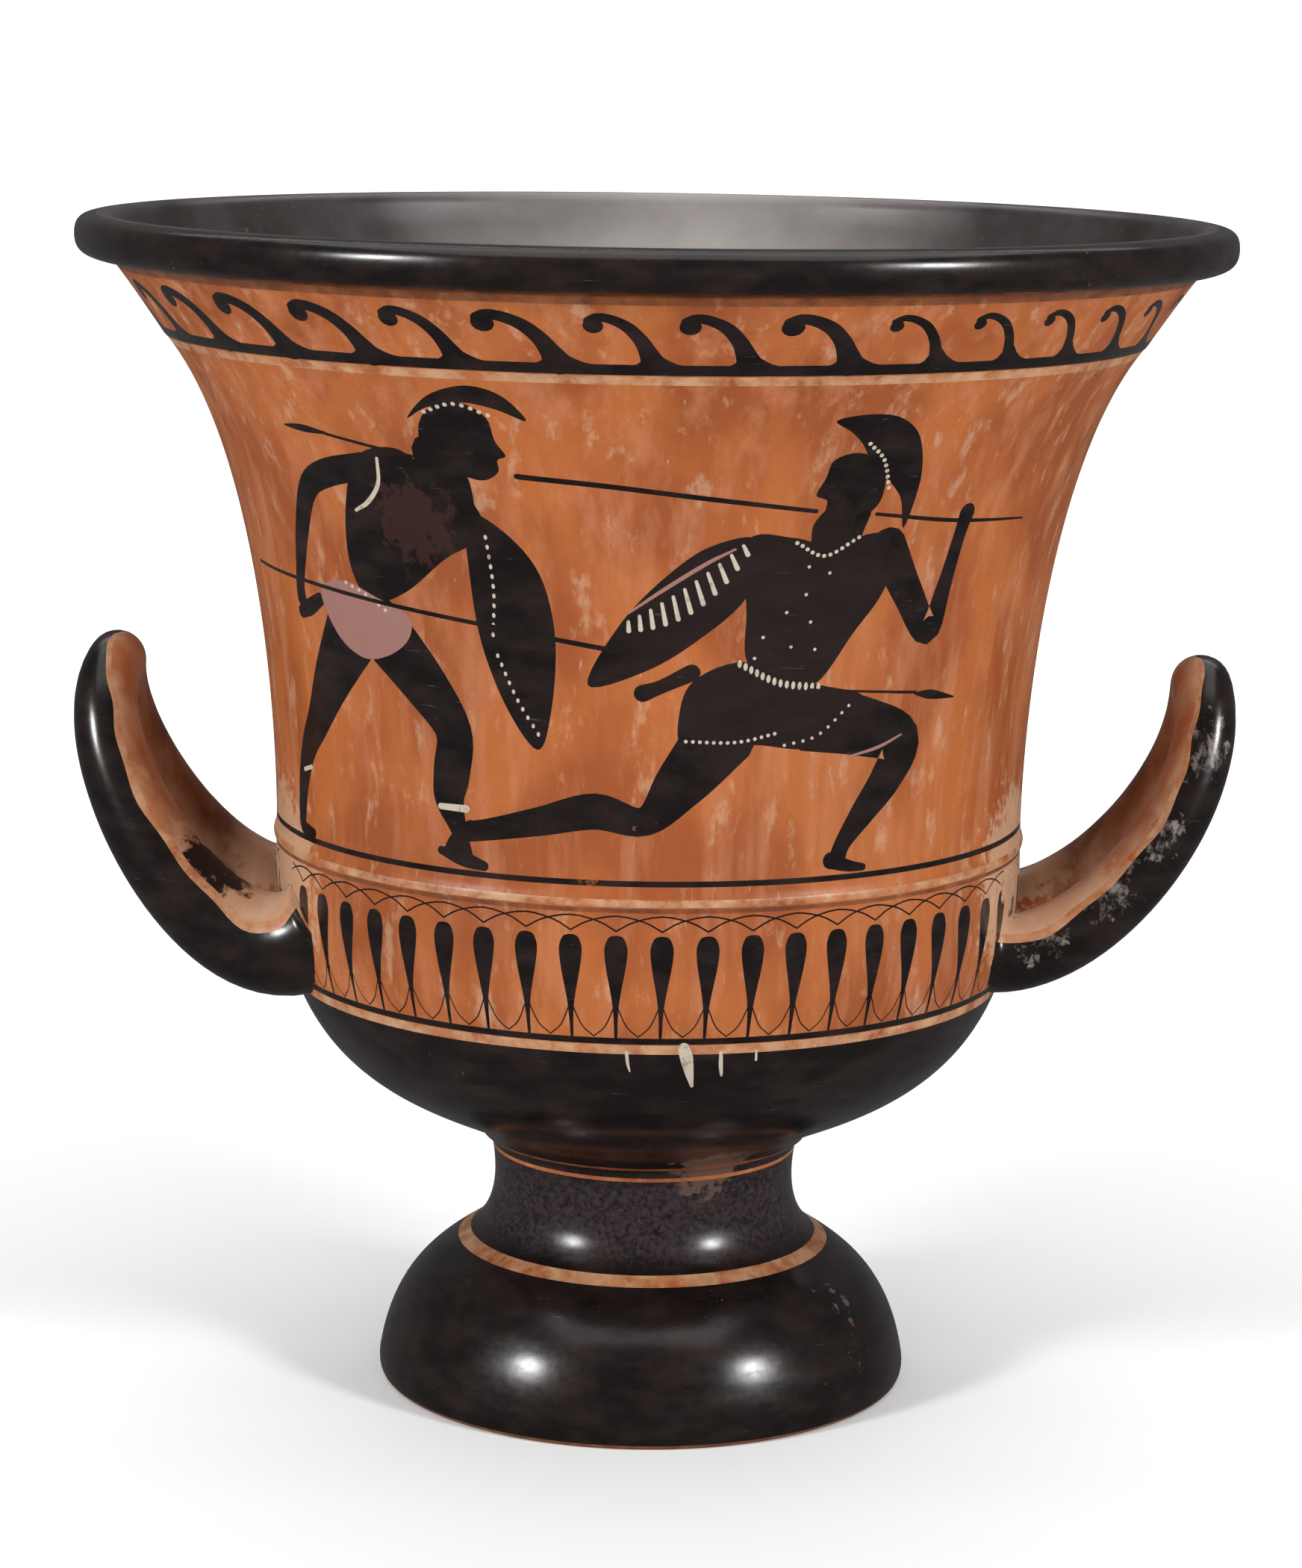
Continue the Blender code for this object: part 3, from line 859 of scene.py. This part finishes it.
class Nodes:
    """Short calls for building one material's nodes."""

    def __init__(self, name):
        self.material = bpy.data.materials.new(name)
        self.material.use_nodes = True
        self.tree = self.material.node_tree
        self.shader = self.tree.nodes["Principled BSDF"]

    def add(self, kind, **values):
        node = self.tree.nodes.new(kind)
        for key, value in values.items():
            setattr(node, key, value)
        return node

    def link(self, out, into):
        self.tree.links.new(out, into)

    def put(self, value, into):
        """Sets a socket to a number or a colour, or links it to another node's output."""
        if isinstance(value, tuple):
            into.default_value = (*value, 1)
        elif isinstance(value, (int, float)):
            into.default_value = value
        else:
            self.link(value, into)

    def position(self):
        return self.add("ShaderNodeNewGeometry").outputs["Position"]

    def noise(self, size, stretch=(1, 1, 1), detail=4, rough=0.55):
        """Noise in cells about size wide, and longer along an axis whose stretch is below 1."""
        mapping = self.add("ShaderNodeMapping")
        mapping.inputs["Scale"].default_value = stretch
        self.link(self.position(), mapping.inputs["Vector"])
        node = self.add("ShaderNodeTexNoise")
        self.link(mapping.outputs["Vector"], node.inputs["Vector"])
        node.inputs["Scale"].default_value = 1 / size
        node.inputs["Detail"].default_value = detail
        node.inputs["Roughness"].default_value = rough
        return node.outputs["Fac"]

    def distance(self, position, place):
        away = self.add("ShaderNodeVectorMath", operation="DISTANCE")
        self.link(position, away.inputs[0])
        away.inputs[1].default_value = place
        return away.outputs["Value"]

    def near(self, place, reach, ragged, mirrored=False):
        """1 close to a place and 0 away from it, with a ragged edge at a distance of about reach."""
        position = self.position()
        if mirrored:
            fold = self.add("ShaderNodeVectorMath", operation="ABSOLUTE")
            self.link(position, fold.inputs[0])
            position = fold.outputs["Vector"]
        noise = self.math("SUBTRACT", self.noise(0.0045, (1, 1, 1), 5, 0.65), 0.5)
        away = self.math("ADD", self.distance(position, place), self.math("MULTIPLY", noise, 2 * ragged))
        return self.steps(away, reach * 0.9, reach * 1.15, 1.0, 0.0)

    def glow(self, place, reach):
        """1 at a place, falling evenly to 0 at a distance of reach."""
        return self.steps(self.distance(self.position(), place), 0.0, reach, 1.0, 0.0)

    def height(self):
        return self.along((0, 0, 1))

    def along(self, axis):
        """How far a place lies along a direction from the middle of the pot's foot."""
        dot = self.add("ShaderNodeVectorMath", operation="DOT_PRODUCT")
        self.link(self.position(), dot.inputs[0])
        dot.inputs[1].default_value = axis
        return dot.outputs["Value"]

    def steps(self, value, low, high, out_low=0.0, out_high=1.0):
        """Turns low to out_low and high to out_high, evenly between them and flat beyond them."""
        node = self.add("ShaderNodeMapRange")
        sockets = ("From Min", "From Max", "To Min", "To Max")
        for socket, number in zip(sockets, (low, high, out_low, out_high)):
            node.inputs[socket].default_value = number
        self.link(value, node.inputs["Value"])
        return node.outputs["Result"]

    def math(self, operation, a, b):
        node = self.add("ShaderNodeMath", operation=operation)
        self.put(a, node.inputs[0])
        self.put(b, node.inputs[1])
        return node.outputs[0]

    def mix(self, share, under, over):
        node = self.add("ShaderNodeMix", data_type="RGBA")
        for value, number in ((share, 0), (under, 6), (over, 7)):
            self.put(value, node.inputs[number])
        return node.outputs[2]

    def cover(self, under, over, share, strength):
        """A colour with another one over it, as strongly as share times strength."""
        return self.mix(self.math("MULTIPLY", share, strength), under, over)

    def bump(self, height, distance, strength=1.0):
        node = self.add("ShaderNodeBump")
        node.inputs["Distance"].default_value = distance
        node.inputs["Strength"].default_value = strength
        self.link(height, node.inputs["Height"])
        self.link(node.outputs["Normal"], self.shader.inputs["Normal"])

    def surface(self, colour, roughness, specular=0.5):
        """Gives the shader its look, and returns the material."""
        self.put(colour, self.shader.inputs["Base Color"])
        self.put(roughness, self.shader.inputs["Roughness"])
        self.put(specular, self.shader.inputs["Specular IOR Level"])
        return self.material


def clay_colour(n):
    """Orange clay with soft upright streaks, paler worn patches and cream scratches, and its grain."""
    streaks = n.steps(n.noise(0.009, (1, 1, 0.14), 4, 0.62), 0.48, 0.66)
    patches = n.steps(n.noise(0.030, (1, 1, 0.55), 4), 0.42, 0.60)
    pale = n.steps(n.noise(0.007, (1, 1, 0.40), 5, 0.65), 0.57, 0.67)
    scratches = n.steps(n.noise(0.0030, (1, 1, 0.16), 5, 0.7), 0.66, 0.72)
    grain = n.noise(0.0012, (1, 1, 1), 5, 0.6)
    colour = n.mix(patches, CLAY_ORANGE, CLAY_DEEP)
    colour = n.cover(colour, CLAY_PINK, streaks, 0.45)
    colour = n.cover(colour, CLAY_PALE, pale, 0.38)
    colour = n.cover(colour, CLAY_PALE, scratches, 0.45)
    return n.mix(n.steps(grain, 0.35, 0.75, 0.0, 0.25), colour, CLAY_DEEP), grain


def clay_material():
    """Bare clay, pale at the handles' roots, with paler handles whose back legs are darkened brown as
    painted shade.
    """
    n = Nodes("bare_clay")
    colour, grain = clay_colour(n)
    colour = n.cover(colour, CLAY_PALE, n.near(HANDLE_ROOT_PLACE, 0.026, 0.024, mirrored=True), 0.60)
    below_flare = n.steps(n.height(), 0.234, 0.242, 1.0, 0.0)
    outward = n.steps(n.math("ABSOLUTE", n.along((1, 0, 0)), 0.0), 0.124, 0.132)
    handles = n.math("MULTIPLY", outward, below_flare)
    rubbed = n.steps(n.noise(0.010, (1, 1, 0.5), 4), 0.40, 0.62, 0.15, 0.50)
    colour = n.cover(colour, CLAY_PALE, handles, rubbed)
    # The handles' back legs are painted a darker brown, as painted shade
    behind = n.steps(n.along((0, 1, 0)), 0.000, 0.019)
    uneven_shade = n.steps(n.noise(0.012, (1, 1, 0.6), 4), 0.35, 0.65, 0.60, 1.0)
    colour = n.cover(colour, DILUTE_AND_SHADE_BROWN, n.math("MULTIPLY", behind, handles), uneven_shade)
    colour = n.mix(n.near(LOOP_STAIN_PLACE, 0.012, 0.012), colour, GLOSS_BLACK)
    n.bump(grain, 0.00010, 0.4)
    return n.surface(colour, n.steps(grain, 0.3, 0.7, 0.34, 0.48), 0.30)


def gloss_material():
    """Black gloss with brush shading, fine scratches, rubbed places and flakes down to the clay."""
    n = Nodes("black_gloss")
    clay, _ = clay_colour(n)
    brush = n.steps(n.noise(0.016, (1, 1, 2.2), 4), 0.40, 0.72)
    smears = n.steps(n.noise(0.012, (0.35, 0.35, 1.6), 4), 0.50, 0.72)
    grain = n.noise(0.0022, (1, 1, 1), 5, 0.65)
    scratches = n.steps(n.noise(0.0035, (0.30, 0.30, 2.6), 6, 0.75), 0.645, 0.70)
    flakes = n.math("MULTIPLY", n.noise(0.0030, (1, 1, 0.8), 6, 0.7), n.noise(0.045, (1, 1, 1), 2))
    scuffs = n.steps(n.noise(0.0040, (1, 1, 0.5), 6, 0.75), 0.47, 0.62, 0.0, 0.7)
    colour = n.mix(brush, GLOSS_BLACK, GLOSS_BROWN)
    colour = n.cover(colour, GLOSS_BROWN, n.near(RIGHT_FIGURE_PLACE, 0.040, 0.020), 0.6)
    colour = n.cover(colour, WORN_BROWN, n.near(CHEST_WEAR_PLACE, 0.012, 0.020), 0.7)
    colour = n.cover(colour, SCUFF_GREY, scratches, 0.30)
    colour = n.cover(colour, SCUFF_GREY, n.near(FOOT_SCUFF_PLACE, 0.005, 0.022), 0.5)
    colour = n.cover(colour, WORN_TAN, n.near(STEM_WEAR_PLACE, 0.010, 0.016), 0.65)
    for place in HANDLE_SCUFF_PLACES:
        colour = n.cover(colour, SCUFF_PALE, n.near(place, 0.009, 0.015), scuffs)
    colour = n.cover(colour, CLAY_PALE, n.near(HANDLE_ROOT_PLACE, 0.010, 0.010, mirrored=True), 0.9)
    colour = n.cover(colour, clay, n.steps(flakes, 0.435, 0.465), 0.5)
    stem = n.math("MULTIPLY", n.steps(n.height(), 0.046, 0.052), n.steps(n.height(), 0.070, 0.077, 1.0, 0.0))
    speckle = n.steps(n.noise(0.0016, (1, 1, 1), 5, 0.7), 0.38, 0.72)
    colour = n.cover(colour, DUST_PURPLE, n.math("MULTIPLY", stem, speckle), 0.6)
    roughness = n.math("ADD", n.steps(grain, 0.3, 0.75, 0.19, 0.26), n.math("MULTIPLY", smears, 0.10))
    n.bump(n.noise(0.0050, (1, 1, 1), 3, 0.5), 0.00010, 0.3)
    return n.surface(colour, roughness, 0.42)


def dusty_gloss_material():
    """The black gloss inside the bowl, dulled by a grey film with pale spots, and with a pale sheen painted
    on the back of the inner wall.
    """
    n = Nodes("dusty_gloss")
    film = n.steps(n.noise(0.028, (1, 1, 1), 4, 0.6), 0.30, 0.70, 0.15, 0.75)
    spots = n.steps(n.noise(0.0045, (1, 1, 1), 5, 0.7), 0.64, 0.70)
    colour = n.mix(film, GLOSS_BROWN, DUST_GREY)
    colour = n.cover(colour, SCUFF_GREY, spots, 0.5)
    uneven = n.steps(film, 0.15, 0.75, 0.75, 1.0)
    # A pale sheen painted on the back of the inner wall, made uneven by the film
    colour = n.cover(colour, SHEEN_PALE, n.glow(INSIDE_SHEEN_PLACE, 0.105), uneven)
    return n.surface(colour, n.steps(film, 0.15, 0.75, 0.30, 0.42))


def worn_paint(name, colour, under, size, roughness):
    """Matt added paint that has rubbed off in small patches."""
    n = Nodes(name)
    wear = n.steps(n.noise(size, (1, 1, 0.7), 5, 0.7), 0.54, 0.68)
    return n.surface(n.mix(wear, colour, under), roughness)


def dilute_material():
    """Thin brown gloss that lets the clay show through unevenly; under the lip it is also painted shade
    beneath the overhang.
    """
    n = Nodes("dilute_gloss")
    clay, grain = clay_colour(n)
    cover = n.steps(n.noise(0.006, (1, 1, 1), 5, 0.65), 0.30, 0.66, 0.95, 0.35)
    return n.surface(n.mix(cover, clay, DILUTE_AND_SHADE_BROWN), n.steps(grain, 0.3, 0.7, 0.26, 0.42))


def pale_clay_and_highlight_material():
    """Bare clay rubbed pale, with cream deposits; on the ridge and along the step under the waves it is a
    painted highlight.
    """
    n = Nodes("worn_and_highlight_clay")
    clay, _ = clay_colour(n)
    cover = n.steps(n.noise(0.008, (1, 1, 1), 5, 0.7), 0.38, 0.62)
    return n.surface(n.mix(cover, clay, BAND_TAN), 0.42)


def krater_materials():
    """The pot's materials, in the order of their slots."""
    return [
        clay_material(),
        gloss_material(),
        worn_paint("added_white", CREAM, CREAM_WORN, 0.0026, 0.55),
        worn_paint("added_red", PINK, PINK_WORN, 0.0060, 0.55),
        dilute_material(),
        pale_clay_and_highlight_material(),
        dusty_gloss_material(),
    ]


def add_object(name, data):
    """A new object in the scene."""
    made = bpy.data.objects.new(name, data)
    bpy.context.scene.collection.objects.link(made)
    return made


def make_krater():
    """The pot's painted skin, in place of the plain solid."""
    materials = krater_materials()
    body = add_object("painted_krater", body_skin(materials))
    rods = [add_object(name, handle_mesh(name, handle, materials)) for name, handle in HANDLES.items()]
    join_handles(body, rods)
    drop_flaps(body.data)
    shade(body.data)
    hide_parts("krater")
    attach(body, "root")


def make_stage():
    """A pale floor that curves up into a backdrop far behind the pot, and that the gloss doesn't mirror."""
    half_width = 4.0
    outline = [(-3.0, 0.0), (2.0, 0.0), (2.6, 0.12), (3.0, 0.5), (3.1, 3.0)]
    mesh = bpy.data.meshes.new("floor")
    rows = [(x, y, z) for y, z in outline for x in (-half_width, half_width)]
    mesh.from_pydata(rows, [], [(2 * i, 2 * i + 1, 2 * i + 3, 2 * i + 2) for i in range(len(outline) - 1)])
    mesh.materials.append(Nodes("pale_floor").surface(FLOOR_PALE, 0.9))
    mesh.shade_smooth()
    floor = add_object("floor", mesh)
    floor.visible_glossy = False


def area_light(name, place, target, size, power):
    light = bpy.data.lights.new(name, "AREA")
    light.shape = "RECTANGLE"
    light.size, light.size_y = size
    light.energy = power
    lamp = add_object(name, light)
    lamp.location = place
    lamp.rotation_euler = (Vector(target) - Vector(place)).to_track_quat("-Z", "Y").to_euler()
    return lamp


def make_light():
    """The lamps in an even white room; the gloss doesn't mirror the fill."""
    lamps = {name: area_light(name, *values) for name, values in LAMPS.items()}
    lamps["front_fill"].visible_glossy = False
    world = bpy.data.worlds.new("studio")
    world.use_nodes = True
    background = world.node_tree.nodes["Background"]
    background.inputs["Color"].default_value = (1, 1, 1, 1)
    background.inputs["Strength"].default_value = WORLD_STRENGTH
    bpy.context.scene.world = world
    bpy.context.scene.view_settings.view_transform = "Standard"


def make_camera():
    """The camera, where the photograph was taken from."""
    camera = bpy.data.cameras.new("camera")
    camera.lens = CAMERA_LENS
    camera.sensor_width = CAMERA_SENSOR_WIDTH
    camera.sensor_fit = "AUTO"
    viewer = add_object("camera", camera)
    viewer.location = CAMERA_PLACE
    tilt = Matrix.Rotation(math.radians(90 - CAMERA_PITCH), 3, "X")
    roll = Matrix.Rotation(math.radians(CAMERA_ROLL), 3, "Z")
    viewer.rotation_euler = (tilt @ roll).to_euler()
    bpy.context.scene.camera = viewer


make_krater()
make_stage()
make_light()
make_camera()
